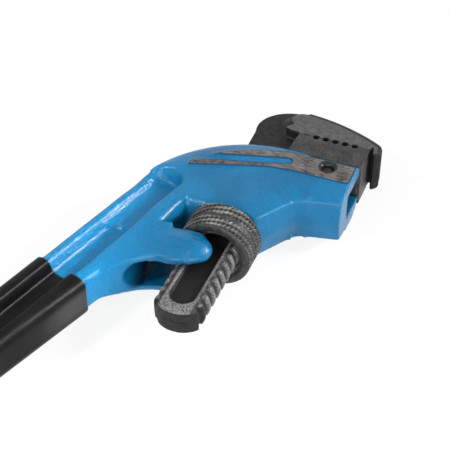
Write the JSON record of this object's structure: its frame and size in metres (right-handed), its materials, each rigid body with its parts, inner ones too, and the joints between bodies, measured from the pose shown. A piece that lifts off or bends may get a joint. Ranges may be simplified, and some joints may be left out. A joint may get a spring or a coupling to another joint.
{
  "type": "offset pipe wrench",
  "caption": "Offset pipe wrench: painted cast body with a dipped grip, a serrated heel jaw, and a hook jaw on a threaded shank driven by a knurled nut.",
  "frame": {"origin": "middle of the closed mouth, on the heel jaw's tooth line at mid-thickness", "axes": "+X along the teeth out of the mouth, +Y along the shank in the opening direction, +Z across the thickness"},
  "size_m": [0.1601, 0.3007, 0.038],
  "materials": {
    "body_paint": "gloss blue paint over a cast surface, ground bare along the cheeks",
    "grip_vinyl": "dipped black vinyl, gloss",
    "heel_steel": "machined, lightly oiled",
    "pin_steel": "dull",
    "hook_steel": "forged, dark phosphate",
    "nut_steel": "knurled, dark phosphate",
    "spring_steel": "plain spring steel",
    "coil_steel": "plain spring wire"
  },
  "bodies": {
    "frame": {"body": "body_paint", "grip": "grip_vinyl", "heel_jaw": "heel_steel", "heel_jaw_pin": "pin_steel", "flat_spring": "spring_steel", "coil_spring": "coil_steel"},
    "hook": {"hook_jaw": "hook_steel"},
    "nut": {"adjusting_nut": "nut_steel"}
  },
  "joints": [
    {"name": "jaw_slide", "type": "slide", "parent": "frame", "child": "hook", "axis": [0, 1, 0], "range_m": [0, 0.047]},
    {"name": "nut_turn", "type": "hinge", "parent": "frame", "child": "nut", "pos_m": [-0.031, -0.0842, 0], "axis": [0, 1, 0], "range_deg": [-2821, 0]}
  ],
  "couplings": [
    {"joint": "nut_turn", "follows": "jaw_slide", "rad_per_m": -1047.2}
  ]
}
